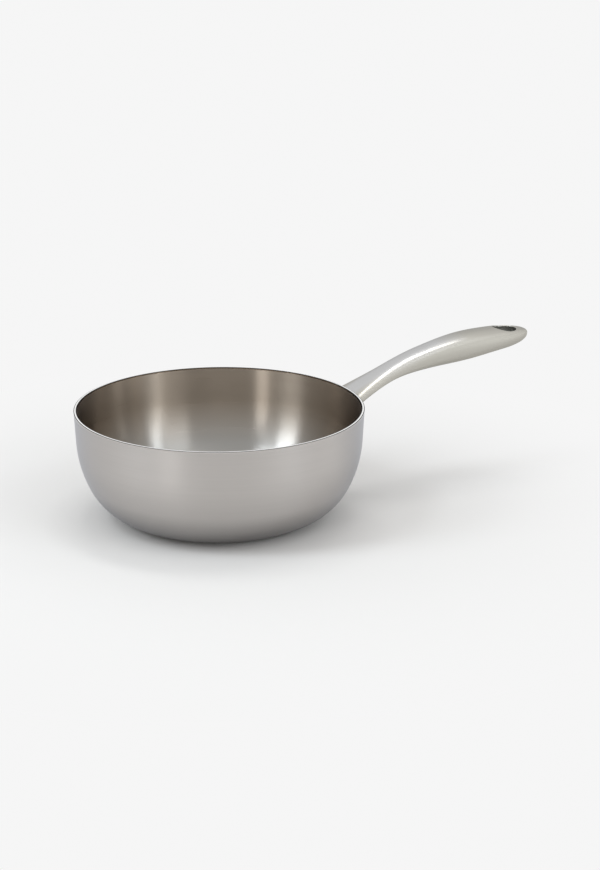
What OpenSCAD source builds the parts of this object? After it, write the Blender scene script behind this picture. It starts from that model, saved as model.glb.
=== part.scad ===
// Saucier pan: a deep bowl pressed from five bonded sheets, with a hollow welded steel handle.
// Millimetres. The bowl stands on z = 0 round the Z axis, and the handle runs out along +X.

/* [Bowl] */
// Inside diameter at the rim
inside_dia = 200; // [180:2:220]
// Height from the base to the rim
bowl_h = 79; // [70:1:90]
// Lean of the straight wall, in degrees from upright
wall_taper = 3; // [1:0.5:5]
// Radius of the arc that turns the wall inwards
shoulder_r = 81; // [76:1:90]
// Lean of the wall where that arc hands over to the belly arc, in degrees from upright
shoulder_turn = 27; // [22:1:34]
// Radius of the belly arc, which runs down to the base
belly_r = 45.5; // [40:0.5:50]
// How far the flat base cuts into the belly arc
base_cut = 0.7; // [0.4:0.1:1.5]
// Height of the fused bead that closes the sheets at the rim
rim_bead_h = 1; // [0.8:0.1:1.4]

/* [Sheets] */
// Thickness of the steel cooking skin
cooking_skin_t = 0.4; // [0.3:0.05:0.6]
// Thickness of each of the two soft aluminium bonding sheets
bond_t = 0.2; // [0.15:0.05:0.3]
// Thickness of the aluminium core
core_t = 1; // [0.6:0.1:1.4]
// Thickness of the magnetic steel outer skin
outer_skin_t = 0.4; // [0.3:0.05:0.6]

/* [Handle] */
// Distance from the bowl's axis to the handle's tip
handle_reach = 254; // [235:1:275]
// Height of the middle of the tip above the rim
tip_rise = 24; // [15:0.5:32]
// Depth of the middle of the root below the rim
root_drop = 10.8; // [8:0.1:14]
// Climb of the handle at its root, in degrees
root_climb = 22; // [18:1:26]
// How far the root's climb carries on into the bend
root_pull = 62; // [50:1:70]
// Climb of the handle at its tip, in degrees
tip_climb = 7; // [4:0.5:10]
// How far the tip's climb reaches back into the bend
tip_pull = 114; // [95:1:120]
// Scale of every handle width
handle_width_scale = 1; // [0.95:0.01:1.1]
// Length of the rounded end
tip_round = 24.5; // [20:0.5:30]
// Wall thickness of the two half shells
shell_t = 1.5; // [1:0.1:1.8]
// Length of the solid plug in the root
plug_len = 14; // [10:1:20]
// Leg of the weld fillet round the root
root_weld_leg = 1.2; // [0.8:0.1:1.6]

/* [Hanging eye] */
// Diameter of the hole
eye_dia = 17.5; // [14:0.5:19]
// Distance from the middle of the hole to the handle's tip
eye_from_tip = 17.5; // [16:0.5:21]
// Wall thickness of the sleeve that lines the hole
eye_sleeve_t = 1.2; // [1:0.1:1.5]

/* [Hidden] */

steel = [0.72, 0.72, 0.71];
warm_steel = [0.66, 0.64, 0.61];
weld_steel = [0.62, 0.62, 0.62];
aluminium = [0.80, 0.81, 0.82];

// Depths of the sheets' faces below the outer surface
bond_1 = outer_skin_t;
core_0 = bond_1 + bond_t;
core_1 = core_0 + core_t;
skin_0 = core_1 + bond_t;
wall_t = skin_0 + cooking_skin_t;
rim_r = inside_dia / 2 + wall_t;
// Facets of the bowl's turned pieces and of the eye
round_fn = 180;
eye_fn = 96;
// How far a cutting shape reaches past what it cuts
clear = 5;

// Outward direction, in the bowl's half section, of a wall that leans by a
function out_dir(a) = [cos(a), -sin(a)];

// The half section's arcs and straight wall, from the rim down
straight_len = (bowl_h + base_cut - shoulder_r * (sin(shoulder_turn) - sin(wall_taper))
    - belly_r * (1 - sin(shoulder_turn))) / cos(wall_taper);
down_wall = [-sin(wall_taper), -cos(wall_taper)];
rim_point = [rim_r, bowl_h];
straight_end = rim_point + straight_len * down_wall;
shoulder_c = straight_end - shoulder_r * out_dir(wall_taper);
belly_c = shoulder_c + (shoulder_r - belly_r) * out_dir(shoulder_turn);

// Points along an arc of the half section, between the outward directions of two leans
function arc_points(centre, r, lean_0, lean_1, steps) = [for (i = [0:steps])
    centre + r * out_dir(lean_0 + (lean_1 - lean_0) * i / steps)];
belly_steps = 16;
shoulder_steps = 8;

// The bowl's half section, filled, with its outer face moved in by depth. over carries it past the
// axis and the rim, so that it cuts cleanly.
module bowl_section(depth, over = 0) {
    arc_r = belly_r - depth;
    flat_lean = asin((belly_c.y - depth) / arc_r);
    inwards = -depth * out_dir(wall_taper);
    polygon(concat(
        [[-over, depth]],
        arc_points(belly_c, arc_r, flat_lean, shoulder_turn, belly_steps),
        arc_points(shoulder_c, shoulder_r - depth,
            shoulder_turn - (shoulder_turn - wall_taper) / shoulder_steps, wall_taper, shoulder_steps - 1),
        [rim_point + inwards - over * down_wall, [-over, bowl_h + over]]
    ));
}

// One pressed sheet of the bowl, between two depths, up to the rim bead
module sheet(depth_0, depth_1) {
    rotate_extrude($fn = round_fn)
        difference() {
            bowl_section(depth_0);
            bowl_section(depth_1, clear);
            translate([0, bowl_h - rim_bead_h]) square([2 * rim_r, 2 * clear]);
        }
}

module cooking_skin() {
    color(warm_steel) sheet(skin_0, wall_t);
}

module inner_bond_sheet() {
    color(aluminium) sheet(core_1, skin_0);
}

module aluminium_core() {
    color(aluminium) sheet(core_0, core_1);
}

module outer_bond_sheet() {
    color(aluminium) sheet(bond_1, core_0);
}

module outer_skin() {
    color(steel) sheet(0, bond_1);
}

// The bead that seals the sheets' edges, as thick as the wall and crowned on top
module rim_bead() {
    crown_r = 1.1 * wall_t;
    middle = rim_r - wall_t / 2;
    crown_steps = 36;
    color(steel)
        rotate_extrude($fn = round_fn)
            intersection() {
                difference() {
                    bowl_section(0, clear);
                    bowl_section(wall_t, 2 * clear);
                }
                polygon(arc_points([middle, bowl_h - crown_r], crown_r, 0, 360 - 360 / crown_steps,
                    crown_steps - 1));
                translate([middle - wall_t, bowl_h - rim_bead_h]) square([2 * wall_t, rim_bead_h]);
            }
}

// The handle's middle line is one cubic curve in the XZ plane, which starts root_in inside the rim
root_in = 6;
spine_0 = [rim_r - root_in, bowl_h - root_drop];
spine_3 = [handle_reach, bowl_h + tip_rise];
spine_1 = spine_0 + root_pull * [cos(root_climb), sin(root_climb)];
spine_2 = spine_3 - tip_pull * [cos(tip_climb), sin(tip_climb)];

function cubic(t) = pow(1 - t, 3) * spine_0 + 3 * pow(1 - t, 2) * t * spine_1
    + 3 * (1 - t) * pow(t, 2) * spine_2 + pow(t, 3) * spine_3;
function cubic_dir(t) = let (d = pow(1 - t, 2) * (spine_1 - spine_0)
    + 2 * (1 - t) * t * (spine_2 - spine_1) + pow(t, 2) * (spine_3 - spine_2)) d / norm(d);

// Length run along the curve against its parameter, for even steps along the handle
length_steps = 80;
run = [for (i = 0, s = 0; i <= length_steps;
    s = s + norm(cubic((i + 1) / length_steps) - cubic(i / length_steps)), i = i + 1) [s, i / length_steps]];
spine_len = run[length_steps][0];
function curve_t(u) = lookup(u * spine_len, run);

// Handle sections: place along the middle line, full width, rise of the top above the line,
// depth of the underside below it, and squareness of the top
stations = [
    [0.00, 38.0, 3.8, 5.0, 3.6],
    [0.12, 28.4, 5.1, 3.2, 3.2],
    [0.26, 21.8, 6.4, 3.1, 2.9],
    [0.45, 22.8, 9.4, 6.0, 2.7],
    [0.65, 28.0, 11.3, 8.2, 2.4],
    [0.82, 29.0, 8.9, 7.9, 2.2],
    [1.00, 24.4, 3.5, 8.1, 2.2],
];
under_squareness = 2.3;
last_station = len(stations) - 1;

// Smooth run of one station column: a cubic between stations, with the slope at each station
// taken from its neighbours
function station_slope(i, c) = let (a = max(i - 1, 0), b = min(i + 1, last_station))
    (stations[b][c] - stations[a][c]) / (stations[b][0] - stations[a][0]);
function station_value(u, c) = let (
    i = min(len([for (s = stations) if (s[0] <= u) 1]) - 1, last_station - 1),
    w = stations[i + 1][0] - stations[i][0],
    f = (u - stations[i][0]) / w,
    g = 1 - f)
    stations[i][c] * g * g * (1 + 2 * f) + stations[i + 1][c] * f * f * (1 + 2 * g)
    + w * f * g * (station_slope(i, c) * g - station_slope(i + 1, c) * f);

// Rounded end: everything shrinks to a point over the last stretch, which stops short by inset
tip_power = 2.2;
tip_root = 3;
function shrink(u, inset) = let (f = (u * spine_len - (spine_len - tip_round)) / (tip_round - inset))
    f <= 0 ? 1 : f >= 1 ? 0 : pow(1 - pow(f, tip_power), 1 / tip_root);

// Point of the handle's skin at place u and angle a round the section, moved in by inset.
// Angle 0 is the seam on the -Y side, 90 the top, 180 the other seam and 270 the underside.
function power(v, n) = sign(v) * pow(abs(v), 2 / n);
function skin(u, a, inset = 0) = let (
    t = curve_t(u),
    mid = cubic(t),
    dir = cubic_dir(t),
    on_top = a <= 180,
    n = on_top ? station_value(u, 4) : under_squareness,
    half_w = (station_value(u, 1) * handle_width_scale / 2 - inset) * shrink(u, inset),
    half_h = (station_value(u, on_top ? 2 : 3) - inset) * shrink(u, inset),
    x = half_w * power(cos(a), n),
    y = half_h * power(sin(a), n))
    [mid.x - dir.y * y, -x, mid.y + dir.x * y];

// Place where a line along the skin meets the bowl's straight wall, found from a first guess in steps
// that each take up the miss of the one before
function wall_radius(z) = rim_r - (bowl_h - z) * tan(wall_taper);
first_guess = 0.035;
wall_tries = 8;
function wall_place(a, inset, u = first_guess, tries = wall_tries) = tries == 0 ? u : let (
    p = skin(u, a, inset),
    miss = wall_radius(p.z) - norm([p.x, p.y]))
    wall_place(a, inset, u + miss / spine_len, tries - 1);

// Grid of the handle's skin from the wall to the tip: rows along it, columns round it.
// Near the root the rows lean over to follow the wall.
body_rows = 34;
tip_rows = 9;
rows = body_rows + tip_rows;
columns = 18;
lean_over = 0.3;
tip_start = 1 - tip_round / spine_len;
function row_place(i, inset) = i <= body_rows ? tip_start * i / body_rows
    : tip_start + (tip_round - inset) / spine_len
    * pow(1 - pow(cos(90 * (i - body_rows) / tip_rows), tip_root), 1 / tip_power);
function grid_place(i, a, inset) = let (v = row_place(i, inset))
    v >= lean_over ? v : v + wall_place(a, inset) * (1 - v / lean_over);
function half_grid(side, inset) = [for (i = [0:rows - 1], j = [0:columns])
    let (a = 180 * (side + j / columns)) skin(grid_place(i, a, inset), a, inset)];
function tip_point(inset) = skin(1 - inset / spine_len, 0, inset);

// The two triangles of a quad
function quad(a, b, c, d) = [[a, b, c], [a, c, d]];
function flat_list(l) = [for (a = l, b = a) b];

// Half of the hollow handle: side 0 is the upper shell and side 1 the lower one
module half_shell(side) {
    per_row = columns + 1;
    outer_tip = 2 * rows * per_row;
    inner_tip = outer_tip + 1;
    function o(i, j) = i * per_row + j;
    function n(i, j) = rows * per_row + i * per_row + j;
    polyhedron(
        points = concat(half_grid(side, 0), half_grid(side, shell_t), [tip_point(0)], [tip_point(shell_t)]),
        faces = flat_list([
            for (i = [0:rows - 2], j = [0:columns - 1])
                concat(quad(o(i, j), o(i, j + 1), o(i + 1, j + 1), o(i + 1, j)),
                    quad(n(i, j), n(i + 1, j), n(i + 1, j + 1), n(i, j + 1))),
            for (i = [0:rows - 2])
                concat(quad(o(i, 0), o(i + 1, 0), n(i + 1, 0), n(i, 0)),
                    quad(o(i, columns), n(i, columns), n(i + 1, columns), o(i + 1, columns))),
            for (j = [0:columns - 1])
                concat(quad(o(0, j), n(0, j), n(0, j + 1), o(0, j + 1)),
                    [[o(rows - 1, j), o(rows - 1, j + 1), outer_tip],
                    [n(rows - 1, j + 1), n(rows - 1, j), inner_tip]]),
            quad(o(rows - 1, 0), outer_tip, inner_tip, n(rows - 1, 0)),
            quad(o(rows - 1, columns), n(rows - 1, columns), inner_tip, outer_tip),
        ])
    );
}

// Solid skinned by rings of points, each ring closed and with the same count, with its ends closed
// by fans round their middles
function middle(l) = [for (k = [0:2]) sum_of(l, k) / len(l)];
function sum_of(l, k) = [for (p = l) p[k]] * [for (p = l) 1];
module ringed(rings) {
    count = len(rings[0]);
    last = len(rings) - 1;
    first_middle = (last + 1) * count;
    polyhedron(
        points = concat(flat_list(rings), [middle(rings[0]), middle(rings[last])]),
        faces = flat_list([
            for (i = [0:last - 1], j = [0:count - 1]) let (k = (j + 1) % count)
                quad(i * count + j, i * count + k, (i + 1) * count + k, (i + 1) * count + j),
            for (j = [0:count - 1]) let (k = (j + 1) % count)
                [[k, j, first_middle], [last * count + j, last * count + k, first_middle + 1]],
        ])
    );
}

// A ring of the skin across the handle, following the wall when it stands on the root
function ring_at(u, inset) = [for (j = [0:2 * columns - 1]) skin(u, 180 * j / columns, inset)];
function root_ring(inset) = [for (j = [0:2 * columns - 1])
    let (a = 180 * j / columns) skin(wall_place(a, inset), a, inset)];
function along_root(length, inset) = [for (j = [0:2 * columns - 1])
    let (a = 180 * j / columns) skin(wall_place(a, inset) + length / spine_len, a, inset)];

// The hanging eye runs square to the handle's middle line
eye_u = 1 - eye_from_tip / spine_len;
eye_mid = cubic(curve_t(eye_u));
eye_dir = cubic_dir(curve_t(eye_u));
eye_lean = atan2(eye_dir.y, eye_dir.x);
eye_cut_len = 60;
module eye_cylinder(r, over = 0) {
    translate([eye_mid.x, 0, eye_mid.y]) rotate([0, -eye_lean, 0])
        cylinder(h = eye_cut_len + 2 * over, r = r, center = true, $fn = eye_fn);
}

module handle_upper_shell() {
    color(steel)
        difference() {
            half_shell(0);
            eye_cylinder(eye_dia / 2 + eye_sleeve_t);
        }
}

module handle_lower_shell() {
    color(steel)
        difference() {
            half_shell(1);
            eye_cylinder(eye_dia / 2 + eye_sleeve_t);
        }
}

// The bead left inside along both long seams; outside, the seams are ground flush
seam_from = 0.16;
seam_to = 0.78;
seam_steps = 24;
bead_w = 0.8;
module handle_seam_weld() {
    color(weld_steel)
        for (side = [0, 180])
            ringed([for (i = [0:seam_steps])
                let (u = seam_from + (seam_to - seam_from) * i / seam_steps,
                    p = skin(u, side, shell_t), q = skin(u, side, shell_t + bead_w),
                    dir = cubic_dir(curve_t(u)),
                    up = bead_w / 2 * [-dir.y, 0, dir.x])
                side == 0 ? [p + up, p - up, q] : [p + up, q, p - up]]);
}

module handle_root_plug() {
    color(steel) ringed([root_ring(shell_t), along_root(plug_len, shell_t)]);
}

// Fillet round the root: a triangle between the wall and the handle's skin
module handle_root_weld() {
    count = 2 * columns;
    on_wall = root_ring(-root_weld_leg);
    on_skin = along_root(root_weld_leg, 0);
    corner = root_ring(0);
    color(weld_steel)
        polyhedron(
            points = concat(on_wall, on_skin, corner),
            faces = flat_list([for (j = [0:count - 1], s = [0:2]) let (k = (j + 1) % count)
                let (a = s * count, b = (s + 1) % 3 * count) quad(a + j, b + j, b + k, a + k)])
        );
}

// Sleeve that lines the eye, with its ends ground to the shells' skins. The skin is rebuilt past_sleeve
// further along the handle than the sleeve reaches.
past_sleeve = 2;
sleeve_steps = 8;
module hanging_eye_sleeve() {
    half_len = eye_dia / 2 + eye_sleeve_t + past_sleeve;
    color(steel)
        difference() {
            intersection() {
                eye_cylinder(eye_dia / 2 + eye_sleeve_t);
                ringed([for (i = [0:sleeve_steps])
                    ring_at(eye_u + half_len * (2 * i / sleeve_steps - 1) / spine_len, 0)]);
            }
            eye_cylinder(eye_dia / 2, clear);
        }
}

cooking_skin();
inner_bond_sheet();
aluminium_core();
outer_bond_sheet();
outer_skin();
rim_bead();
handle_upper_shell();
handle_lower_shell();
handle_seam_weld();
handle_root_plug();
handle_root_weld();
hanging_eye_sleeve();
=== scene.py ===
"""Looks of a saucier pan: a satin brushed steel bowl with a bare polished rim and a hollow steel handle."""

import math

import bpy
import numpy as np
from mathutils import Euler, Matrix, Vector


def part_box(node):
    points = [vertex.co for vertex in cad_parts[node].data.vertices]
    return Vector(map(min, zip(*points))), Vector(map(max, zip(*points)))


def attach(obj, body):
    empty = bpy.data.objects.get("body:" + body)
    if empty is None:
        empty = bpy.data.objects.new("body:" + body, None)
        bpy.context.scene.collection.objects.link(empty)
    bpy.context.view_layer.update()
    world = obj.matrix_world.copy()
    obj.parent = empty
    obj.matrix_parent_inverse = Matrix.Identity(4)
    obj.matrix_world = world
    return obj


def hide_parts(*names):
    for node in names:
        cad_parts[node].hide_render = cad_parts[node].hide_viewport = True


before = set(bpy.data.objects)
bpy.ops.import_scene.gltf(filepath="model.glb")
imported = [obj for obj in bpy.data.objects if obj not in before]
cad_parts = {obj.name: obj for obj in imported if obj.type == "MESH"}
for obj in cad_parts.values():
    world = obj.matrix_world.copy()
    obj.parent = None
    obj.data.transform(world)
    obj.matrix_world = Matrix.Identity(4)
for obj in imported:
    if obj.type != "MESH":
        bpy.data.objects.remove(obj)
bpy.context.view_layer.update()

bl_info = {
    "name": "Saucier pan",
    "version": (1, 0, 0),
    "blender": (4, 5, 0),
    "location": "View3D > Sidebar > Pan",
    "description": "Builds the finished surfaces of a saucier pan, its stage and its camera",
    "category": "Add Mesh",
}

MM = 0.001
TAU = 2 * math.pi

# Bowl, in millimetres
BOWL_H = float(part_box("rim_bead")[1][2]) / MM
INSIDE_R = 100.0
WALL_TAPER = math.radians(3)
SHOULDER_R = 81.0
SHOULDER_TURN = math.radians(27)
BELLY_R = 45.5
BASE_CUT = 0.7
# Lengths along the belly arc over which its edge with the base's flat is rounded off
OUTER_BLEND = 3.0
INNER_BLEND = 9.0
RIM_BEAD_H = 1.0
OUTER_SKIN_T = 0.4
COOKING_SKIN_T = 0.4
WALL_T = 2.2
# A profile point that is nearer to the axis than this lies on it
AXIS_REACH = 1e-6
# Points along the stretches of the bowl's half section, and along the rim's crown
FLAT_POINTS, BLEND_POINTS, BELLY_POINTS, SHOULDER_POINTS, WALL_POINTS = 12, 10, 40, 24, 6
CROWN_POINTS = 17

# Handle, in millimetres, with its angles given in degrees
HANDLE_REACH = 254.0
TIP_RISE = 24.0
ROOT_DROP = 10.8
ROOT_IN = 6.0
ROOT_CLIMB = math.radians(22)
ROOT_PULL = 62.0
TIP_CLIMB = math.radians(7)
TIP_PULL = 114.0
TIP_ROUND = 24.5
TIP_POWER = 2.2
TIP_ROOT = 3.0
SHELL_T = 1.5
ROOT_WELD_LEG = 1.2
EYE_R = 8.75
EYE_FROM_TIP = 17.5
EYE_SLEEVE_T = 1.2
EYE_LIP_R = 0.7
UNDER_SQUARENESS = 2.3
# Columns: place along the handle, width, rise of the top, depth of the underside, squareness of the top
WIDTH, RISE, DEPTH, SQUARENESS = 1, 2, 3, 4
STATIONS = np.array([
    [0.00, 38.0, 3.8, 5.0, 3.6],
    [0.12, 28.4, 5.1, 3.2, 3.2],
    [0.26, 21.8, 6.4, 3.1, 2.9],
    [0.45, 22.8, 9.4, 6.0, 2.7],
    [0.65, 28.0, 11.3, 8.2, 2.4],
    [0.82, 29.0, 8.9, 7.9, 2.2],
    [1.00, 24.4, 3.5, 8.1, 2.2],
])


# Mesh building

def add_mesh(name, points, faces, normals=None, smooth_angle=math.radians(30)):
    """A mesh object from points in millimetres and a list of faces. normals, where given, holds one
    direction per face corner."""
    mesh = bpy.data.meshes.new(name)
    mesh.from_pydata((np.asarray(points) * MM).tolist(), [], faces)
    mesh.shade_smooth()
    if normals is None:
        mesh.set_sharp_from_angle(angle=smooth_angle)
    else:
        mesh.normals_split_custom_set(normals.tolist())
    piece = bpy.data.objects.new(name, mesh)
    bpy.context.scene.collection.objects.link(piece)
    return piece


def mark(piece, name, values):
    """Stores one number per vertex on the piece's mesh, for its material."""
    piece.data.attributes.new(name, "FLOAT", "POINT").data.foreach_set("value", values)
    return piece


def revolve(profile, segments):
    """Turns a profile of (radius, height) points round the Z axis: point (r, z) goes to
    (r cos t, r sin t, z) for even steps of t. A profile whose two ends are on the axis closes there in
    fans, and any other one closes on itself."""
    profile = np.asarray(profile, float)
    on_axis = profile[:, 0] < AXIS_REACH
    body = profile[~on_axis]
    t = np.arange(segments) / segments * TAU
    ring = np.stack([np.cos(t), np.sin(t)], 1)
    points = np.concatenate([
        (body[:, None, :1] * ring[None]).reshape(len(body), segments, 2),
        np.broadcast_to(body[:, None, 1:], (len(body), segments, 1)),
    ], 2).reshape(-1, 3)
    i = np.arange(len(body) - 1)[:, None]
    j = np.arange(segments)[None]
    k = (j + 1) % segments
    quads = np.stack([i * segments + j, i * segments + k, (i + 1) * segments + k, (i + 1) * segments + j], 2)
    faces = quads.reshape(-1, 4).tolist()
    last = (len(body) - 1) * segments
    j, k = j[0], k[0]
    if on_axis[0]:
        low, high = len(points), len(points) + 1
        points = np.vstack([points, [[0, 0, profile[0, 1]], [0, 0, profile[-1, 1]]]])
        faces += np.stack([np.full_like(j, low), k, j], 1).tolist()
        faces += np.stack([np.full_like(j, high), last + j, last + k], 1).tolist()
    else:
        faces += np.stack([last + j, last + k, k, j], 1).tolist()
    return points, faces


# The bowl's half section

def out_dir(lean):
    """Outward direction of a wall that leans by an angle from upright: (cos a, -sin a)."""
    return np.stack([np.cos(lean), -np.sin(lean)], -1)


DOWN_WALL = -np.array([math.sin(WALL_TAPER), math.cos(WALL_TAPER)])
STRAIGHT_LEN = (
    BOWL_H + BASE_CUT - SHOULDER_R * (math.sin(SHOULDER_TURN) - math.sin(WALL_TAPER))
    - BELLY_R * (1 - math.sin(SHOULDER_TURN))
) / math.cos(WALL_TAPER)
RIM_POINT = np.array([INSIDE_R + WALL_T, BOWL_H])
STRAIGHT_END = RIM_POINT + STRAIGHT_LEN * DOWN_WALL
SHOULDER_C = STRAIGHT_END - SHOULDER_R * out_dir(WALL_TAPER)
BELLY_C = SHOULDER_C + (SHOULDER_R - BELLY_R) * out_dir(SHOULDER_TURN)


def bowl_line(depth, top_gap):
    """The bowl's face at a depth below its outer face, from the axis to top_gap under the rim: a flat,
    a short quadratic curve whose ends follow its neighbours, the belly arc, the shoulder arc and the
    straight wall."""
    arc_r = BELLY_R - depth
    flat_lean = math.asin((BELLY_C[1] - depth) / arc_r)
    arc_lean = flat_lean - (OUTER_BLEND if depth < WALL_T / 2 else INNER_BLEND) / arc_r
    arc_start = BELLY_C + arc_r * out_dir(arc_lean)
    side = (arc_start[1] - depth) / math.cos(arc_lean)
    corner = np.array([arc_start[0] - side * math.sin(arc_lean), depth])
    flat_r = np.linspace(0, corner[0] - side, FLAT_POINTS)
    flat = np.stack([flat_r, np.full_like(flat_r, depth)], 1)
    t = np.linspace(0, 1, BLEND_POINTS)[1:-1, None]
    blend = (1 - t) ** 2 * flat[-1] + 2 * t * (1 - t) * corner + t ** 2 * arc_start
    belly = BELLY_C + arc_r * out_dir(np.linspace(arc_lean, SHOULDER_TURN, BELLY_POINTS))
    leans = np.linspace(SHOULDER_TURN, WALL_TAPER, SHOULDER_POINTS)[1:]
    shoulder = SHOULDER_C + (SHOULDER_R - depth) * out_dir(leans)
    inwards = -depth * out_dir(WALL_TAPER)
    down = top_gap / math.cos(WALL_TAPER) + depth * math.tan(WALL_TAPER)
    top = RIM_POINT + inwards + down * DOWN_WALL
    low = STRAIGHT_END + inwards
    wall = low + np.linspace(0, 1, WALL_POINTS)[1:, None] * (top - low)
    return np.vstack([flat, blend, belly, shoulder, wall])


def skin_profile(depth_0, depth_1):
    """Closed half section of one sheet: up its outer face and down its inner face."""
    return np.vstack([bowl_line(depth_0, RIM_BEAD_H), bowl_line(depth_1, RIM_BEAD_H)[::-1]])


RIM_MIDDLE = RIM_POINT[0] - WALL_T / 2
CROWN_R = 1.1 * WALL_T
CROWN_HALF = math.asin(0.5 * WALL_T / CROWN_R)
CROWN_LOW = BOWL_H - CROWN_R * (1 - math.cos(CROWN_HALF))


def rim_profile():
    """Half section of the rim bead: the wall's two faces and a crown, an arc of radius CROWN_R."""
    outer_low = [RIM_POINT[0] - RIM_BEAD_H * math.tan(WALL_TAPER), BOWL_H - RIM_BEAD_H]
    inner_low = [outer_low[0] - WALL_T / math.cos(WALL_TAPER), outer_low[1]]
    a = np.linspace(CROWN_HALF, -CROWN_HALF, CROWN_POINTS)
    lip = np.stack([RIM_MIDDLE + CROWN_R * np.sin(a), BOWL_H - CROWN_R * (1 - np.cos(a))], 1)
    return np.vstack([[outer_low], lip, [inner_low]])


# The handle's skin

# Control points of its middle line, seen from the side: distance from the bowl's axis and height
SPINE = np.array([
    [RIM_POINT[0] - ROOT_IN, BOWL_H - ROOT_DROP],
    [0, 0], [0, 0],
    [HANDLE_REACH, BOWL_H + TIP_RISE],
])
SPINE[1] = SPINE[0] + ROOT_PULL * np.array([math.cos(ROOT_CLIMB), math.sin(ROOT_CLIMB)])
SPINE[2] = SPINE[3] - TIP_PULL * np.array([math.cos(TIP_CLIMB), math.sin(TIP_CLIMB)])


def cubic(t):
    """Point of the cubic curve with control points SPINE."""
    t = np.asarray(t)[..., None]
    return ((1 - t) ** 3 * SPINE[0] + 3 * (1 - t) ** 2 * t * SPINE[1]
            + 3 * (1 - t) * t ** 2 * SPINE[2] + t ** 3 * SPINE[3])


def unit(vectors):
    """The vectors, each divided by its own length. One of no length stays as it is."""
    return vectors / np.maximum(np.linalg.norm(vectors, axis=-1, keepdims=True), 1e-12)


def cubic_dir(t):
    """Unit direction of that curve."""
    t = np.asarray(t)[..., None]
    d = ((1 - t) ** 2 * (SPINE[1] - SPINE[0]) + 2 * (1 - t) * t * (SPINE[2] - SPINE[1])
         + t ** 2 * (SPINE[3] - SPINE[2]))
    return unit(d)


# Even curve parameters and the length of the curve up to each
CURVE_T = np.linspace(0, 1, 401)
RUN = np.concatenate([[0], np.cumsum(np.linalg.norm(np.diff(cubic(CURVE_T), axis=0), axis=1))])
SPINE_LEN = RUN[-1]


def curve_t(u):
    """Curve parameter at a share u of the curve's length."""
    return np.interp(np.asarray(u) * SPINE_LEN, RUN, CURVE_T)


def station(u, column):
    """Smooth run of one station column: a cubic between stations, with slopes from the neighbours."""
    s, v = STATIONS[:, 0], STATIONS[:, column]
    near = np.arange(len(s))
    a, b = np.maximum(near - 1, 0), np.minimum(near + 1, len(s) - 1)
    slope = (v[b] - v[a]) / (s[b] - s[a])
    i = np.clip(np.searchsorted(s, u, side="right") - 1, 0, len(s) - 2)
    w = s[i + 1] - s[i]
    f = (u - s[i]) / w
    g = 1 - f
    return (v[i] * g * g * (1 + 2 * f) + v[i + 1] * f * f * (1 + 2 * g)
            + w * f * g * (slope[i] * g - slope[i + 1] * f))


def shrink(u, inset):
    """Rounded end: 1 along the handle, then down to 0 over the last stretch, inset short of the tip."""
    f = np.clip((u * SPINE_LEN - (SPINE_LEN - TIP_ROUND)) / (TIP_ROUND - inset), 0, 1)
    return (1 - f ** TIP_POWER) ** (1 / TIP_ROOT)


def on_top(a):
    """Whether an angle round the section is on its upper half, the two seams included."""
    return np.sin(a) >= -1e-9


def squared(v, n):
    """A superellipse's share of its half axis, from the sine or cosine v: sign(v) |v|^(2/n)."""
    return np.sign(v) * np.abs(v) ** (2 / n)


def skin(u, a, inset=0.0):
    """Point of the handle's skin at place u and angle a (radians) round the section. The section is two
    superellipse halves, |x/w|^n + |y/h|^n = 1, set square to the middle line."""
    u, a = np.broadcast_arrays(np.asarray(u, float), np.asarray(a, float))
    t = curve_t(u)
    mid, along = cubic(t), cubic_dir(t)
    top = on_top(a)
    n = np.where(top, station(u, SQUARENESS), UNDER_SQUARENESS)
    closing = shrink(u, inset)
    half_w = (station(u, WIDTH) / 2 - inset) * closing
    half_h = (np.where(top, station(u, RISE), station(u, DEPTH)) - inset) * closing
    x = half_w * squared(np.cos(a), n)
    y = half_h * squared(np.sin(a), n)
    return np.stack([mid[..., 0] - along[..., 1] * y, -x, mid[..., 1] + along[..., 0] * y], -1)


def section_rise(u, a):
    """How high a skin point stands in its section: 1 along the top, 0 at the seams, -1 underneath."""
    return squared(np.sin(a), np.where(on_top(a), station(u, SQUARENESS), UNDER_SQUARENESS))


def skin_normal(u, a, inset=0.0, step=1e-4, turn=1e-3):
    """Unit outward normal of the skin: the cross product of a small step along it and a turn round it."""
    du = skin(np.minimum(u + step, 1), a, inset) - skin(u - step, a, inset)
    da = skin(u, a + turn, inset) - skin(u, a - turn, inset)
    return unit(np.cross(du, da))


def wall_place(a, inset, first_guess=0.035, tries=8):
    """Place where the line along the skin at angle a meets the bowl's straight wall. Each try moves it by
    the distance that is left between the two."""
    u = np.full(np.shape(a), first_guess)
    for _ in range(tries):
        p = skin(u, a, inset)
        radius = RIM_POINT[0] - (BOWL_H - p[..., 2]) * math.tan(WALL_TAPER)
        u = u + (radius - np.hypot(p[..., 0], p[..., 1])) / SPINE_LEN
    return u


# Share of the handle's length over which rows change from the wall's shape to square across
LEAN_OVER = 0.3


def place(v, a, inset):
    """Place for a row v: the wall's place fades out in proportion to v, down to none at LEAN_OVER."""
    v = np.asarray(v, float)
    return np.where(v >= LEAN_OVER, v, v + wall_place(a, inset) * (1 - v / LEAN_OVER))


# The eye stands square to the middle line
EYE_U = 1 - EYE_FROM_TIP / SPINE_LEN
EYE_MID = cubic(curve_t(EYE_U))
EYE_ALONG = cubic_dir(curve_t(EYE_U))
EYE_UP = np.array([-EYE_ALONG[1], EYE_ALONG[0]])


def forward_of_eye(points):
    """How far points stand ahead of the eye's axis, along the middle line's direction there."""
    return (points[..., 0] - EYE_MID[0]) * EYE_ALONG[0] + (points[..., 2] - EYE_MID[1]) * EYE_ALONG[1]


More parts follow.
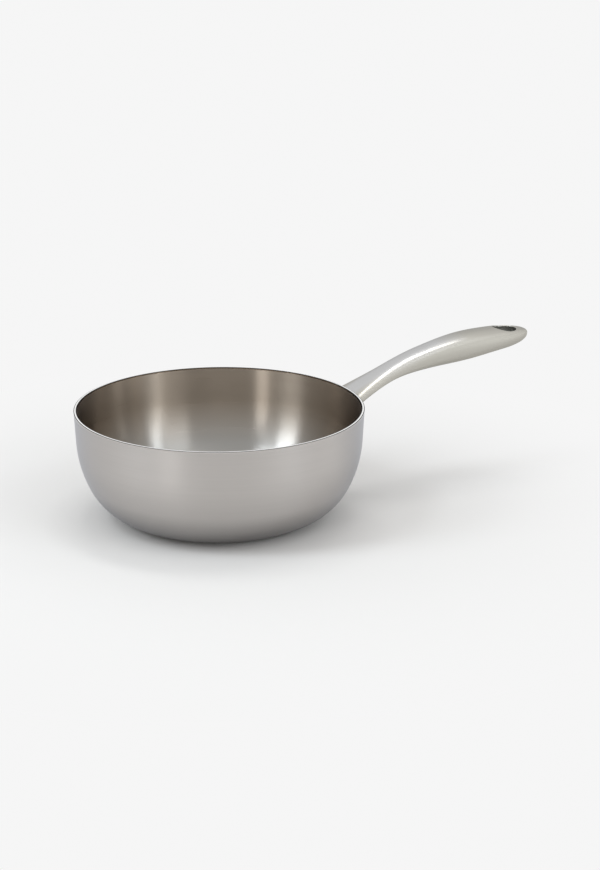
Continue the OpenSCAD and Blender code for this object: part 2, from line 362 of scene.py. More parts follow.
def on_eye(forward, across, top, inset=0.0, tries=12):
    """Place u and angle a of the skin point that stands forward and across of the eye's axis. The angle
    comes from the superellipse's width, and each try moves the place by the distance that is left."""
    u = EYE_U + forward / SPINE_LEN
    sign = 1.0 if top else -1.0
    for _ in range(tries):
        closing = shrink(u, inset)
        n = station(u, SQUARENESS) if top else np.full(np.shape(u), UNDER_SQUARENESS)
        half_w = (station(u, WIDTH) / 2 - inset) * closing
        ratio = np.clip(np.abs(across) / half_w, 0, 1)
        a = np.arccos(ratio ** (n / 2))
        a = np.where(across > 0, a, math.pi - a)
        u = u + (forward - forward_of_eye(skin(u, sign * a, inset))) / SPINE_LEN
    return u, sign * a


# Handle pieces

# Steps of a half shell: along its neck, round its end, across it, and along and inside the eye's patch
NECK_ROWS, END_ROWS, ACROSS, EYE_ROWS, EYE_RINGS = 72, 14, 56, 20, 12
# Half length of the patch round the eye, in millimetres, and how far its rings crowd towards the eye
EYE_PATCH = 12.5
EYE_CROWDING = 1.3
# Steps round the sleeve, and points along its lip, its rounded mouth and its bore
SLEEVE_STEPS, LIP_POINTS, MOUTH_POINTS, BORE_POINTS = 128, 5, 8, 9
# Steps round the root's weld, and points across its fillet
WELD_STEPS, WELD_POINTS = 160, 9


def half_params(top, inset):
    """Places and angles of one half shell's vertices, and its faces. Rows run along the neck and round
    the end, and rings of a patch between them shrink from its four sides to the eye's circle."""
    sign = 1.0 if top else -1.0
    angles = sign * np.linspace(0, math.pi, ACROSS + 1)
    reach = EYE_PATCH / SPINE_LEN
    u0, u1 = EYE_U - reach, EYE_U + reach
    neck_a, neck_v = np.meshgrid(angles, np.linspace(0, u0, NECK_ROWS + 1))
    neck_u = place(neck_v, neck_a, inset)
    start = math.acos(float(shrink(u1, inset)))
    closing = np.cos(np.linspace(start, math.pi / 2, END_ROWS + 1)[:-1])
    into = (1 - closing ** TIP_ROOT) ** (1 / TIP_POWER)
    end_a, end_u = np.meshgrid(angles, 1 - (TIP_ROUND - (TIP_ROUND - inset) * into) / SPINE_LEN)
    side_u = np.linspace(u0, u1, EYE_ROWS + 1)[1:-1]
    side_a = [np.full(len(side_u), angles[end]) for end in (0, -1)]
    u = [neck_u.ravel(), end_u.ravel(), side_u, side_u, [1 - inset / SPINE_LEN]]
    a = [neck_a.ravel(), end_a.ravel(), *side_a, [0.0]]
    wide = ACROSS + 1
    end_0 = (NECK_ROWS + 1) * wide
    side_0 = end_0 + END_ROWS * wide
    side_1 = side_0 + len(side_u)
    tip = side_1 + len(side_u)
    rim = np.concatenate([
        NECK_ROWS * wide + np.arange(wide),
        side_1 + np.arange(len(side_u)),
        end_0 + np.arange(wide)[::-1],
        side_0 + np.arange(len(side_u))[::-1],
    ])
    flat_u, flat_a = np.concatenate(u), np.concatenate(a)
    edge = skin(flat_u[rim], flat_a[rim], inset)
    psi = np.arctan2(-edge[:, 1], forward_of_eye(edge))
    hole_r = EYE_R + EYE_SLEEVE_T
    hole_u, hole_a = on_eye(hole_r * np.cos(psi), hole_r * np.sin(psi), top, inset)
    ring_f = (np.arange(EYE_RINGS) / EYE_RINGS)[:, None] ** EYE_CROWDING
    ring_u = hole_u + (flat_u[rim] - hole_u) * ring_f
    ring_a = hole_a + (flat_a[rim] - hole_a) * ring_f
    ring_0 = tip + 1
    count = len(rim)
    j = np.arange(ACROSS)
    quads = []
    for first, rows in ((0, NECK_ROWS), (end_0, END_ROWS - 1)):
        i = first + np.arange(rows)[:, None] * wide
        quads.append(np.stack([i + j, i + j + 1, i + wide + j + 1, i + wide + j], -1).reshape(-1, 4))
    rings = np.vstack([ring_0 + np.arange(EYE_RINGS * count).reshape(EYE_RINGS, count), rim])
    nxt = np.roll(rings, -1, axis=1)
    quads.append(np.stack([rings[:-1], nxt[:-1], nxt[1:], rings[1:]], -1).reshape(-1, 4))
    last = end_0 + (END_ROWS - 1) * wide
    fan = np.stack([last + j, last + j + 1, np.full(ACROSS, tip)], -1)
    all_u, all_a = np.concatenate([flat_u, ring_u.ravel()]), np.concatenate([flat_a, ring_a.ravel()])
    return all_u, all_a, np.vstack(quads), fan


def half_shell(name, top):
    """One half of the hollow handle: the skin and the same skin moved in by the shell's thickness, joined
    along every open edge. An edge is open where only one face of the skin has it."""
    layers = []
    for inset in (0.0, SHELL_T):
        u, a, quads, fan = half_params(top, inset)
        points = skin(u, a, inset)
        normals = skin_normal(u, a, inset)
        tip = int(fan[0, 2])
        along = cubic_dir(1.0)
        normals[tip] = [along[0], 0, along[1]]
        layers.append((points, normals, section_rise(u, a)))
    outer, inner = layers
    count = len(outer[0])

    def outward(faces):
        """The faces, each turned to agree with the skin's normals at its corners."""
        p = outer[0][faces]
        facing = np.cross(p[:, 1] - p[:, 0], p[:, 2] - p[:, 0])
        flip = (facing * outer[1][faces].mean(1)).sum(1) < 0
        faces[flip] = faces[flip][:, ::-1]
        return faces

    quads, fan = outward(quads), outward(fan)
    edges = np.vstack([np.stack([f, np.roll(f, -1, 1)], -1).reshape(-1, 2) for f in (quads, fan)])
    key = edges.min(1) * count + edges.max(1)
    _, first, times = np.unique(key, return_index=True, return_counts=True)
    open_edges = edges[first[times == 1]]
    start, end = open_edges.T
    strips = np.stack([end, start, start + count, end + count], 1)
    points = np.vstack([outer[0], inner[0]])
    back_quads, back_fan = quads[:, ::-1], fan[:, ::-1]
    faces = [
        *quads.tolist(), *fan.tolist(),
        *(back_quads + count).tolist(), *(back_fan + count).tolist(),
        *strips.tolist(),
    ]
    corner = points[strips]
    flat = unit(np.cross(corner[:, 1] - corner[:, 0], corner[:, 3] - corner[:, 0]))
    loop_normals = np.vstack([
        outer[1][quads.ravel()], outer[1][fan.ravel()],
        -inner[1][back_quads.ravel()], -inner[1][back_fan.ravel()],
        np.repeat(flat, 4, axis=0),
    ])
    piece = add_mesh(name, points, faces, loop_normals)
    return mark(piece, "rise", np.concatenate([outer[2], inner[2]]))


def tube_faces(rows, columns):
    """Faces of a grid that closes on itself both ways."""
    i, j = np.arange(rows)[:, None], np.arange(columns)[None]
    k, m = (i + 1) % rows, (j + 1) % columns
    return np.stack([i * columns + j, i * columns + m, k * columns + m, k * columns + j], -1).reshape(-1, 4)


def facing_out(points, faces):
    """The faces, turned over if the closed shape that they make has a negative volume."""
    p = points[faces]
    volume = (np.cross(p[:, 0], p[:, 1]) * p[:, 2]).sum() + (np.cross(p[:, 0], p[:, 2]) * p[:, 3]).sum()
    return faces if volume > 0 else faces[:, ::-1]


def eye_sleeve(name):
    """A tube round the eye's axis. Its ends follow the handle's skin, and its mouth is rounded over."""
    psi = np.arange(SLEEVE_STEPS) / SLEEVE_STEPS * TAU
    outer_r = EYE_R + EYE_SLEEVE_T

    def height(r, top):
        """Height of the skin above the eye's middle, on a circle of radius r round its axis."""
        u, a = on_eye(r * np.cos(psi), r * np.sin(psi), top)
        p = skin(u, a)
        return (p[:, 0] - EYE_MID[0]) * EYE_UP[0] + (p[:, 2] - EYE_MID[1]) * EYE_UP[1]

    rows = []
    for top in (True, False):
        sign = 1 if top else -1
        lip = [(r, height(r, top)) for r in np.linspace(outer_r, EYE_R + EYE_LIP_R, LIP_POINTS)]
        edge = lip[-1][1]
        fillet = [(EYE_R + EYE_LIP_R * (1 - math.sin(t)), edge - sign * EYE_LIP_R * (1 - math.cos(t)))
                  for t in np.linspace(0, math.pi / 2, MOUTH_POINTS)[1:]]
        rows.append(lip + fillet)
    top_rows, under_rows = rows
    wall_top, wall_low = top_rows[-1][1], under_rows[-1][1]
    wall = [(EYE_R, wall_top + f * (wall_low - wall_top)) for f in np.linspace(0, 1, BORE_POINTS)[1:-1]]
    profile = top_rows + wall + under_rows[::-1]
    points, rises = [], []
    for r, h in profile:
        rises.append(np.sign(h))
        forward, across = r * np.cos(psi), r * np.sin(psi)
        points.append(np.stack([
            EYE_MID[0] + forward * EYE_ALONG[0] + h * EYE_UP[0],
            -across,
            EYE_MID[1] + forward * EYE_ALONG[1] + h * EYE_UP[1],
        ], -1))
    points = np.vstack(points)
    faces = facing_out(points, tube_faces(len(profile), len(psi)))
    piece = add_mesh(name, points, faces.tolist(), smooth_angle=math.radians(40))
    return mark(piece, "rise", np.concatenate(rises))


def root_weld(name):
    """A bead round the root: a hollow quadratic curve from the wall to the handle's skin, closed to the
    corner where they meet."""
    a = np.arange(WELD_STEPS) / WELD_STEPS * TAU
    on_wall = skin(wall_place(a, -ROOT_WELD_LEG), a, -ROOT_WELD_LEG)
    at_root = wall_place(a, 0.0)
    corner = skin(at_root, a)
    on_skin = skin(at_root + ROOT_WELD_LEG / SPINE_LEN, a)
    rows = [corner]
    for f in np.linspace(0, 1, WELD_POINTS):
        rows.append((1 - f) ** 2 * on_wall + 2 * f * (1 - f) * corner + f ** 2 * on_skin)
    points = np.vstack(rows)
    faces = facing_out(points, tube_faces(len(rows), len(a)))
    return add_mesh(name, points, faces.tolist(), smooth_angle=math.radians(50))


# Shader maths

class Value:
    """A socket of a node tree, with Python's arithmetic."""

    def __init__(self, tree, socket):
        self.tree = tree
        self.socket = socket

    def math(self, operation, *others):
        """Adds a Math node that works on this value and the others."""
        node = self.tree.nodes.new("ShaderNodeMath")
        node.operation = operation
        for slot, value in zip(node.inputs, (self, *others)):
            connect(self.tree, value, slot)
        return Value(self.tree, node.outputs[0])

    def __add__(self, other):
        return self.math("ADD", other)

    def __sub__(self, other):
        return self.math("SUBTRACT", other)

    def __mul__(self, other):
        return self.math("MULTIPLY", other)

    def __truediv__(self, other):
        return self.math("DIVIDE", other)

    def __rsub__(self, other):
        return self.math("MULTIPLY_ADD", -1.0, other)

    __radd__ = __add__
    __rmul__ = __mul__

    def clamped(self, low, high):
        """0 up to low, then a straight climb to 1 at high."""
        return ((self - low) / (high - low)).math("MAXIMUM", 0.0).math("MINIMUM", 1.0)


def connect(tree, value, slot):
    """Links a Value to an input, or sets the input to a number, colour or vector."""
    if isinstance(value, Value):
        tree.links.new(value.socket, slot)
    else:
        slot.default_value = value


class Paint:
    """A material's node tree, with its shader and output in place."""

    def __init__(self, name):
        self.material = bpy.data.materials.new(name)
        self.material.use_nodes = True
        self.tree = self.material.node_tree
        self.shader = next(n for n in self.tree.nodes if n.type == "BSDF_PRINCIPLED")

    def node(self, kind, settings=None, inputs=None, output=0):
        """Adds a node, sets its settings, feeds its inputs and gives one output."""
        node = self.tree.nodes.new(kind)
        for key, value in (settings or {}).items():
            setattr(node, key, value)
        for key, value in (inputs or {}).items():
            connect(self.tree, value, node.inputs[key])
        return Value(self.tree, node.outputs[output])

    def set(self, **values):
        """Feeds the shader's inputs, with their names written with underscores."""
        for key, value in values.items():
            connect(self.tree, value, self.shader.inputs[key.replace("_", " ")])

    def place_xyz(self):
        """Object coordinates as three values."""
        here = self.node("ShaderNodeTexCoord", output="Object")
        split = self.tree.nodes.new("ShaderNodeSeparateXYZ")
        self.tree.links.new(here.socket, split.inputs[0])
        return here, [Value(self.tree, s) for s in split.outputs]

    def vector(self, x, y, z):
        """A vector from three values."""
        return self.node("ShaderNodeCombineXYZ", inputs={0: x, 1: y, 2: z})

    def noise(self, where, scale=1.0, detail=2.0, roughness=0.5):
        """Soft noise round 0.5 at a place, with scale changes to the unit."""
        return self.node("ShaderNodeTexNoise", inputs={
            "Vector": where, "Scale": scale, "Detail": detail, "Roughness": roughness})

    def mix(self, factor, a, b):
        """Blend of two colours."""
        node = self.tree.nodes.new("ShaderNodeMix")
        node.data_type = "RGBA"
        connect(self.tree, factor, node.inputs["Factor"])
        colours = [s for s in node.inputs if s.type == "RGBA"]
        for value, slot in zip((a, b), colours):
            connect(self.tree, value, slot)
        result = next(s for s in node.outputs if s.type == "RGBA")
        return Value(self.tree, result)

    def bump(self, height, strength, distance):
        """Normal of a surface that rises by distance, in metres, where height goes from 0 to 1."""
        return self.node("ShaderNodeBump", inputs={
            "Strength": strength, "Distance": distance, "Height": height})


# Tints of the steels where they are seen at a grazing angle
OUTER_TINT = (0.82, 0.86, 0.93, 1)
INNER_TINT = (0.6, 0.6, 0.62, 1)
GRIP_TINT = (0.58, 0.58, 0.58, 1)
# Heights, in metres, between which the colour of the foot turns into that of the wall. On the outside the
# darker foot is painted shade.
OUTER_SHADE_HEIGHTS = (0.001, 0.029)
INNER_FOOT = (0.024, 0.054)
# Shares of a steel's colour: in the dark of its brushed lines, and in the painted shade at the foot of the
# outside
OUTER_DARK, OUTER_FOOT_SHADE, INNER_DARK = 0.82, 0.46, 0.88
# How fast the brushed noise changes: over one radius round the bowl, and over a metre of its section
LINES_ROUND, LINES_ALONG = 1.5, 2600
BANDS_ROUND, BANDS_ALONG = 0.8, 420
BOWL_CLOUD = 16.0
# How far the lines and the bands move the roughness in all
LINES_MATT, BANDS_MATT = 0.1, 0.06
# Relief of the fine lines and grain, and of a dressed or rolled face, in metres
FINE_RELIEF = 0.00002
ROUGH_RELIEF = 0.00003


def turned_steel(name, colour, dark, foot, foot_span, tint, roughness, streak, grain=0.25, along=0.72):
    """Steel brushed round the Z axis: noise that runs far round the bowl and changes fast along its
    section, over a slow cloudiness. Towards the base it turns into the foot's colour, which on the outside
    is painted shade."""
    paint = Paint(name)
    here, (x, y, z) = paint.place_xyz()
    radius = (x * x + y * y + 1e-9).math("SQRT")
    section = radius + z

    def brushed(rounds, changes, detail, share):
        """Noise on the direction from the axis and the length along the section."""
        where = paint.vector(x / radius * rounds, y / radius * rounds, section * changes)
        return paint.noise(where, detail=detail, roughness=share)

    lines = brushed(LINES_ROUND, LINES_ALONG, 3.0, 0.65)
    bands = brushed(BANDS_ROUND, BANDS_ALONG, 2.0, 0.5)
    cloud = paint.noise(here, scale=BOWL_CLOUD)
    tone = lines * streak + bands * (streak * 0.6) + cloud * 0.25
    wall = paint.mix(tone, (*dark, 1), (*colour, 1))
    paint.set(
        # Darker towards the base: on the outside this foot colour is painted shade, standing in for the
        # shadowed floor that the lower belly mirrors.
        Base_Color=paint.mix(z.clamped(*foot_span), (*foot, 1), wall),
        Metallic=1.0,
        Roughness=lines * LINES_MATT + bands * BANDS_MATT + (roughness - (LINES_MATT + BANDS_MATT) / 2),
        Normal=paint.bump(lines, grain, FINE_RELIEF),
        Anisotropic=along,
        Anisotropic_Rotation=0.25,
        Specular_Tint=tint,
    )
    return paint.material


# The rim's colours: along its crown, and in the black lines of painted shade at its outer and inner side
RIM_BRIGHT = (0.96, 0.96, 0.95)
RIM_OUTER_SHADE_LINE = (0.03, 0.03, 0.03)
RIM_INNER_SHADE_LINE = (0.01, 0.01, 0.01)
RIM_ROUGHNESS = 0.16
# Places across the rim, from -1 at its inner face to 1 at its outer face: where the inner side turns into
# the outer one, and where the bright crown begins and ends
RIM_SIDES = (-0.2, 0.2)
BRIGHT_FROM, BRIGHT_TO = (-0.46, -0.3), (0.5, 0.64)
# Height over which the crown's colours begin, in millimetres
CROWN_FADE = 0.05


def edge_steel(name, bright, outer, inner, outer_face, inner_face, roughness):
    """The rim's steel: bright along the middle of the crown, a black line of painted shade that is no metal
    where the crown rounds over at its two sides, and like the bowl's steels on the faces below it. The
    colour follows the height and the distance from the bowl's axis."""
    paint = Paint(name)
    _, (x, y, z) = paint.place_xyz()
    across = ((x * x + y * y).math("SQRT") - RIM_MIDDLE * MM) / (WALL_T / 2 * MM)
    outwards = across.clamped(*RIM_SIDES)
    shine = across.clamped(*BRIGHT_FROM) * (1.0 - across.clamped(*BRIGHT_TO))
    on_crown = z.clamped((CROWN_LOW - CROWN_FADE) * MM, CROWN_LOW * MM)
    # Either side of the bright band the crown is painted shade: a black line that is no metal.
    crown = paint.mix(shine, paint.mix(outwards, (*inner, 1), (*outer, 1)), (*bright, 1))
    faces = paint.mix(outwards, (*inner_face, 1), (*outer_face, 1))
    paint.set(
        Base_Color=paint.mix(on_crown, faces, crown),
        Metallic=1.0 - on_crown * (1.0 - shine),
        Roughness=roughness,
        Specular_IOR_Level=0.0,
    )
    return paint.material


# The handle's colours: a paler, cooler band of painted light along the middle of the neck, and the colour in
# the eye's bore; and how matt its sides are
NECK_PAINTED_LIGHT = (0.6, 0.6, 0.6)
BORE_COLOUR = (0.32, 0.32, 0.3)
SIDE_ROUGHNESS = 0.7
# Distances, in metres, over which the neck's band of painted light ends: sideways, and out from the bowl's
# axis
NECK_LIGHT_SIDE, NECK_LIGHT_END = (0.005, 0.011), (0.175, 0.2)
# Distance outside the bore at which its darker tone begins to end, in millimetres
BORE_EDGE = 0.05
# Rise in the section over which the matt sides turn into the smooth top
SMOOTH_RISE = (0.56, 0.8)
# Changes to the metre of the handle's grain, of its cloudiness, and of its faint lines along and across it
HANDLE_GRAIN, HANDLE_CLOUD = 5200.0, 38.0
LINES_LONG, LINES_FINE = 60, 1800
# How far the grain and the lines each move the roughness in all
GRAIN_MATT = 0.06


def handle_steel(name, colour, neck_light, bore, roughness, matt):
    """Satin steel with a very fine even grain and a faint cloudiness, and no direction. Its top is
    smoother than its sides. A paler, cooler band along the middle of the neck, over and under it, is
    painted light, and the steel is darker in the eye's bore."""
    paint = Paint(name)
    here, (x, y, z) = paint.place_xyz()
    grain = paint.noise(here, scale=HANDLE_GRAIN, roughness=0.6)
    cloud = paint.noise(here, scale=HANDLE_CLOUD, detail=3.0)
    lines = paint.noise(paint.vector(x * LINES_LONG, y * LINES_FINE, z * LINES_FINE))
    # Painted light: a paler, cooler band along the middle of the neck, on its top and its underside alike.
    side = y.math("ABSOLUTE").clamped(*NECK_LIGHT_SIDE).math("MAXIMUM", x.clamped(*NECK_LIGHT_END))
    steel = paint.mix(side, (*neck_light, 1), (*colour, 1))
    forward = (x - EYE_MID[0] * MM) * EYE_ALONG[0] + (z - EYE_MID[1] * MM) * EYE_ALONG[1]
    from_eye = (forward * forward + y * y).math("SQRT")
    out = from_eye.clamped((EYE_R + BORE_EDGE) * MM, (EYE_R + 0.5 * EYE_LIP_R) * MM)
    rise = paint.node("ShaderNodeAttribute", {"attribute_name": "rise"}, output="Fac")
    smooth = rise.clamped(*SMOOTH_RISE) * (matt - roughness)
    paint.set(
        Base_Color=paint.mix(out * (0.85 + (cloud + lines) * 0.15), (*bore, 1), steel),
        Metallic=1.0,
        Roughness=grain * GRAIN_MATT + lines * GRAIN_MATT + (matt - GRAIN_MATT) - smooth,
        Normal=paint.bump(grain + lines, 0.05, FINE_RELIEF),
        Specular_Tint=GRIP_TINT,
    )
    return paint.material


def plain_metal(name, colour, dark, roughness, scale):
    """Dressed or rolled metal: a fine mottle in colour, gloss and height."""
    paint = Paint(name)
    here, _ = paint.place_xyz()
    mottle = paint.noise(here, scale=scale, detail=3.0, roughness=0.6)
    paint.set(
        Base_Color=paint.mix(mottle, (*dark, 1), (*colour, 1)),
        Metallic=1.0,
        Roughness=mottle * 0.12 + (roughness - 0.06),
        Normal=paint.bump(mottle, 0.2, ROUGH_RELIEF),
    )
    return paint.material


# Settings shown in the sidebar

class PanFinish(bpy.types.PropertyGroup):
    """Colours and gloss of the pan's steels"""

    outer_colour: bpy.props.FloatVectorProperty(
        name="Outer steel", description="Colour of the bowl's outside", subtype="COLOR", size=3,
        default=(0.532, 0.505, 0.483), min=0, max=1)
    inner_colour: bpy.props.FloatVectorProperty(
        name="Inner steel", description="Colour of the cooking face's wall", subtype="COLOR", size=3,
        default=(0.414, 0.356, 0.296), min=0, max=1)
    inner_foot_colour: bpy.props.FloatVectorProperty(
        name="Inner foot", description="Colour of the cooking face near the base", subtype="COLOR", size=3,
        default=(0.338, 0.33, 0.314), min=0, max=1)
    handle_colour: bpy.props.FloatVectorProperty(
        name="Handle steel", description="Colour of the handle", subtype="COLOR", size=3,
        default=(0.5, 0.484, 0.44), min=0, max=1)
    outer_roughness: bpy.props.FloatProperty(
        name="Outer roughness", description="How matt the bowl's outside is", subtype="FACTOR",
        default=0.4, min=0, max=1)
    inner_roughness: bpy.props.FloatProperty(
        name="Inner roughness", description="How matt the cooking face is", subtype="FACTOR",
        default=0.3, min=0, max=1)
    handle_roughness: bpy.props.FloatProperty(
        name="Handle roughness", description="How matt the handle is", subtype="FACTOR",
        default=0.3, min=0, max=1)


class PanDetail(bpy.types.PropertyGroup):
    """How finely the turned surfaces are divided"""

    segments: bpy.props.IntProperty(
        name="Segments", description="Steps round the bowl", default=320, min=64, max=720)


def darker(colour, share):
    """A colour scaled by a share."""
    return tuple(c * share for c in colour)


def dress(piece, material, slot, *nodes):
    """Gives a new piece its material, and puts it in the place of its CAD nodes."""
    piece.data.materials.append(material)
    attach(piece, "root")
    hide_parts(*nodes)


def repaint(node, material):
    """Gives a CAD node that stays its material."""
    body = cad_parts[node]
    if not body.material_slots:
        body.data.materials.append(material)
    for material_slot in body.material_slots:
        material_slot.material = material


class PAN_OT_bowl(bpy.types.Operator):
    """Build the bowl's outer skin, cooking skin and rim bead"""

    bl_idname = "pan.bowl"
    bl_label = "Bowl"

    def execute(self, context):
        finish = context.scene.pan_finish
        segments = context.scene.pan_detail.segments
        # The outside's darker foot colour is painted shade.
        outside = turned_steel(
            "outer_steel", finish.outer_colour, darker(finish.outer_colour, OUTER_DARK),
            darker(finish.outer_colour, OUTER_FOOT_SHADE), OUTER_SHADE_HEIGHTS, OUTER_TINT,
            finish.outer_roughness, streak=0.5)
        inside = turned_steel(
            "inner_steel", finish.inner_colour, darker(finish.inner_colour, INNER_DARK),
            finish.inner_foot_colour, INNER_FOOT, INNER_TINT,
            finish.inner_roughness, streak=0.25, grain=0.06, along=0.95)
        edge = edge_steel("rim_steel", RIM_BRIGHT, RIM_OUTER_SHADE_LINE, RIM_INNER_SHADE_LINE,
                          finish.outer_colour, finish.inner_colour, RIM_ROUGHNESS)
        profile = skin_profile(0, OUTER_SKIN_T)
        outer = add_mesh("outer_skin_finish", *revolve(profile, segments))
        dress(outer, outside, "outer_steel", "outer_skin")
        profile = skin_profile(WALL_T - COOKING_SKIN_T, WALL_T)
        inner = add_mesh("cooking_skin_finish", *revolve(profile, segments))
        dress(inner, inside, "inner_steel", "cooking_skin")
        rim = add_mesh("rim_bead_finish", *revolve(rim_profile(), segments))
        dress(rim, edge, "rim_steel", "rim_bead")
        return {"FINISHED"}


class PAN_OT_handle(bpy.types.Operator):
    """Build the handle's two shells, the eye's sleeve and the weld at the root"""

    bl_idname = "pan.handle"
    bl_label = "Handle"

    def execute(self, context):
        finish = context.scene.pan_finish
        satin = handle_steel("handle_steel", finish.handle_colour, NECK_PAINTED_LIGHT, BORE_COLOUR,
                             finish.handle_roughness, SIDE_ROUGHNESS)
        weld = plain_metal("weld_steel", (0.6, 0.6, 0.6), (0.5, 0.49, 0.48), 0.35, 700.0)
        dress(half_shell("handle_upper_finish", True), satin, "handle_steel", "handle_upper_shell")
        dress(half_shell("handle_lower_finish", False), satin, "handle_steel", "handle_lower_shell")
        dress(eye_sleeve("eye_sleeve_finish"), satin, "handle_steel", "hanging_eye_sleeve")
        dress(root_weld("root_weld_finish"), weld, "weld_steel", "handle_root_weld")
        return {"FINISHED"}


class PAN_OT_inside(bpy.types.Operator):
    """Finish the pieces that lie inside the wall and the handle"""

    bl_idname = "pan.inside"
    bl_label = "Inner pieces"

    def execute(self, context):
        bond = plain_metal("bond_aluminium", (0.83, 0.84, 0.85), (0.77, 0.78, 0.8), 0.35, 260.0)
        core = plain_metal("core_aluminium", (0.79, 0.8, 0.81), (0.73, 0.74, 0.76), 0.4, 180.0)
        weld = plain_metal("inner_weld_steel", (0.55, 0.54, 0.53), (0.45, 0.44, 0.42), 0.4, 700.0)
        for node in ("inner_bond_sheet", "outer_bond_sheet"):
            repaint(node, bond)
        repaint("aluminium_core", core)
        for node in ("handle_seam_weld", "handle_root_plug"):
            repaint(node, weld)
        return {"FINISHED"}


# Camera, fitted to the rim's and the handle's outlines in the photograph
PHOTO_SIZE = (600, 870)
FOCAL_PX = 2417.3
SENSOR_MM = 36.0
CAMERA_REACH = 50
HANDLE_TURN = math.radians(28)
CAMERA_ELEVATION = math.radians(17.8)
# From the middle of the rim, in millimetres, with X to the right in the picture and Z up
CAMERA_FROM_RIM = (56.72, -1624.67, 500.9)


class PAN_OT_stage(bpy.types.Operator):
    """Build the floor, the studio lights and the camera"""

    bl_idname = "pan.stage"
    bl_label = "Stage"

    def execute(self, context):
        scene = context.scene
        camera = bpy.data.objects.new("camera", bpy.data.cameras.new("camera"))
        scene.collection.objects.link(camera)
        x, y, z = CAMERA_FROM_RIM
        c, s = math.cos(HANDLE_TURN), math.sin(HANDLE_TURN)
        camera.location = ((x * c + y * s) * MM, (y * c - x * s) * MM, (z + BOWL_H) * MM)
        camera.rotation_euler = (math.pi / 2 - CAMERA_ELEVATION, 0, -HANDLE_TURN)
        camera.data.sensor_width = SENSOR_MM
        camera.data.lens = FOCAL_PX * SENSOR_MM / max(PHOTO_SIZE)
        camera.data.clip_end = CAMERA_REACH
        scene.camera = camera
        add_floor()
        add_world(scene)
        for lamp in LAMPS:
            add_lamp(scene, *lamp)
        scene.view_settings.view_transform = "Standard"
        return {"FINISHED"}


# Strength of the surround where it is seen, and where it gives light
BACKDROP = 0.92
SURROUND = 0.72
# Distances from the bowl's axis, in metres, between which the plain floor turns into the backdrop
FLOOR_NEAR, FLOOR_FAR = 0.12, 0.36
FLOOR_COLOUR = (0.74, 0.732, 0.718)
# Half the floor's width, in millimetres
FLOOR_HALF = 4000.0
# How far the floor lies below the pan's base, in millimetres, so that the two don't coincide
FLOOR_GAP = 0.15


def seen(tree):
    """1 for a ray from the camera, from a reflection or through glass, and 0 for diffuse light."""
    path = tree.nodes.new("ShaderNodeLightPath")
    kinds = ("Is Camera Ray", "Is Glossy Ray", "Is Transmission Ray")
    camera, glossy, through = (Value(tree, path.outputs[kind]) for kind in kinds)
    return camera.math("MAXIMUM", glossy).math("MAXIMUM", through)


def add_floor():
    """A wide pale plane at the height that the pan stands on. Round the pan it is plain, and takes the
    pan's shadow, and further out it turns into the backdrop's even tone."""
    corners = [[-1, -1], [1, -1], [1, 1], [-1, 1]]
    points = [[x * FLOOR_HALF, y * FLOOR_HALF, -FLOOR_GAP] for x, y in corners]
    floor = add_mesh("floor", points, [[0, 1, 2, 3]])
    paint = Paint("floor")
    _, (x, y, _) = paint.place_xyz()
    away = (x * x + y * y).math("SQRT")
    far = away.clamped(FLOOR_NEAR, FLOOR_FAR)
    glow = paint.node("ShaderNodeEmission", inputs={"Color": (1, 1, 1, 1), "Strength": BACKDROP})
    paint.set(Base_Color=(*FLOOR_COLOUR, 1), Roughness=0.9, Specular_IOR_Level=0.1)
    fade = far * far * (3.0 - far * 2.0)
    mix = paint.node("ShaderNodeMixShader", inputs={0: fade * seen(paint.tree)})
    mixer = mix.socket.node
    paint.tree.links.new(paint.shader.outputs[0], mixer.inputs[1])
    paint.tree.links.new(glow.socket, mixer.inputs[2])
    output = next(n for n in paint.tree.nodes if n.type == "OUTPUT_MATERIAL")
    paint.tree.links.new(mix.socket, output.inputs["Surface"])
    floor.data.materials.append(paint.material)


def add_world(scene):
    """An even surround, a little paler where it is seen than where it gives light."""
    world = bpy.data.worlds.new("studio")
    world.use_nodes = True
    scene.world = world
    tree = world.node_tree
    back = tree.nodes["Background"]
    back.inputs["Color"].default_value = (1, 1, 1, 1)
    connect(tree, seen(tree) * (BACKDROP - SURROUND) + SURROUND, back.inputs["Strength"])


# Distance of the soft lamps from the pan, in metres
LAMP_REACH = 1.8
WHITE, COOL = (1, 1, 1), (0.88, 0.94, 1)
# Columns: name, place round the pan in degrees from the camera (positive to its right), height angle,
# width, height, turn in its own plane, power and colour
LAMPS = [
    ("key", -69, 34, 0.5, 0.7, 32, 8.4, COOL),
    ("key_high", -62, 55, 0.5, 0.4, 0, 4.4, COOL),
    ("front_left", -35, 12, 0.3, 0.3, 0, 2.8, WHITE),
    ("front_right", 62, 22, 0.22, 0.9, -38, 3.8, COOL),
    ("fill_right", 43, 26, 0.7, 0.5, 0, 2.0, WHITE),
    ("high_right", 62, 50, 0.9, 0.4, 0, 1.7, COOL),
    ("right", 97, 12, 0.3, 0.5, 0, 1.4, WHITE),
    ("low_right", 85, 5, 1.2, 0.2, 0, 0.8, WHITE),
    ("top", 170, 76, 1.0, 0.3, -24, 5.0, WHITE),
]


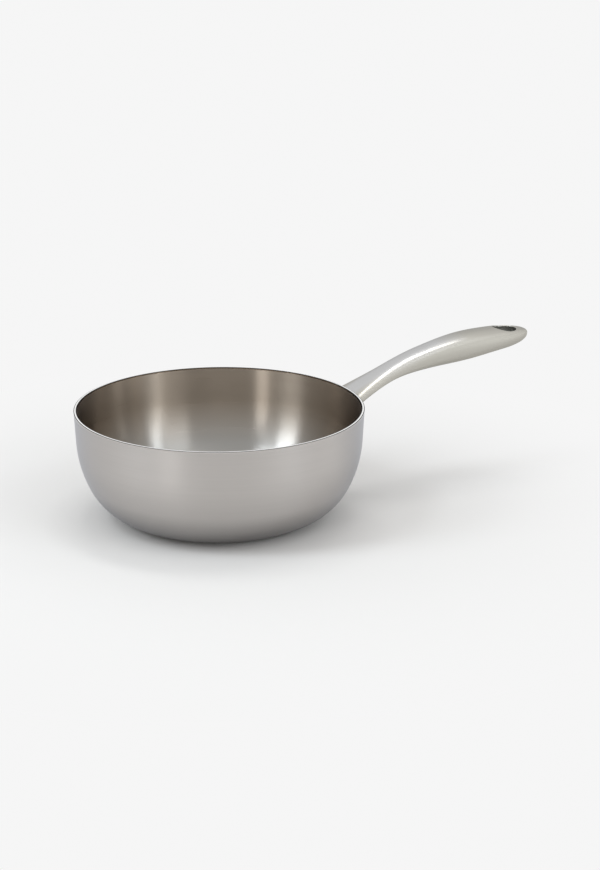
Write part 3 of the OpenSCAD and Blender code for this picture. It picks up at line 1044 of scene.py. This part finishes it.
def add_lamp(scene, name, turn, rise, width, height, roll, power, colour):
    """A soft oblong lamp that faces the pan's middle."""
    lamp = bpy.data.objects.new(name, bpy.data.lights.new(name, "AREA"))
    lamp.data.shape = "RECTANGLE"
    lamp.data.size = width
    lamp.data.size_y = height
    lamp.data.energy = power
    lamp.data.color = colour
    bearing = math.radians(turn) - HANDLE_TURN
    rise = math.radians(rise)
    lamp.location = (
        LAMP_REACH * math.cos(rise) * math.sin(bearing),
        -LAMP_REACH * math.cos(rise) * math.cos(bearing),
        LAMP_REACH * math.sin(rise) + BOWL_H * MM / 2,
    )
    facing = Euler((math.pi / 2 - rise, 0, bearing)).to_matrix()
    lamp.rotation_euler = (facing @ Matrix.Rotation(math.radians(roll), 3, "Z")).to_euler()
    scene.collection.objects.link(lamp)


class PAN_PT_panel(bpy.types.Panel):
    """Sidebar panel with the pan's settings and its steps"""

    bl_idname = "PAN_PT_panel"
    bl_label = "Saucier pan"
    bl_space_type = "VIEW_3D"
    bl_region_type = "UI"
    bl_category = "Pan"

    def draw(self, context):
        layout = self.layout
        for group in (context.scene.pan_finish, context.scene.pan_detail):
            for key in group.__annotations__:
                layout.prop(group, key)
        for step in STEPS_IN_ORDER:
            layout.operator(step.bl_idname)


STEPS_IN_ORDER = (PAN_OT_stage, PAN_OT_bowl, PAN_OT_handle, PAN_OT_inside)
CLASSES = (PanFinish, PanDetail, *STEPS_IN_ORDER, PAN_PT_panel)


def register():
    """Registers the classes and hangs the settings on the scene."""
    for cls in CLASSES:
        bpy.utils.register_class(cls)
    bpy.types.Scene.pan_finish = bpy.props.PointerProperty(type=PanFinish)
    bpy.types.Scene.pan_detail = bpy.props.PointerProperty(type=PanDetail)


def unregister():
    """Takes away what register added, in the reverse order."""
    del bpy.types.Scene.pan_finish
    del bpy.types.Scene.pan_detail
    for cls in reversed(CLASSES):
        bpy.utils.unregister_class(cls)


def main():
    register()
    bpy.ops.pan.stage()
    bpy.ops.pan.bowl()
    bpy.ops.pan.handle()
    bpy.ops.pan.inside()


if __name__ == "__main__":
    main()
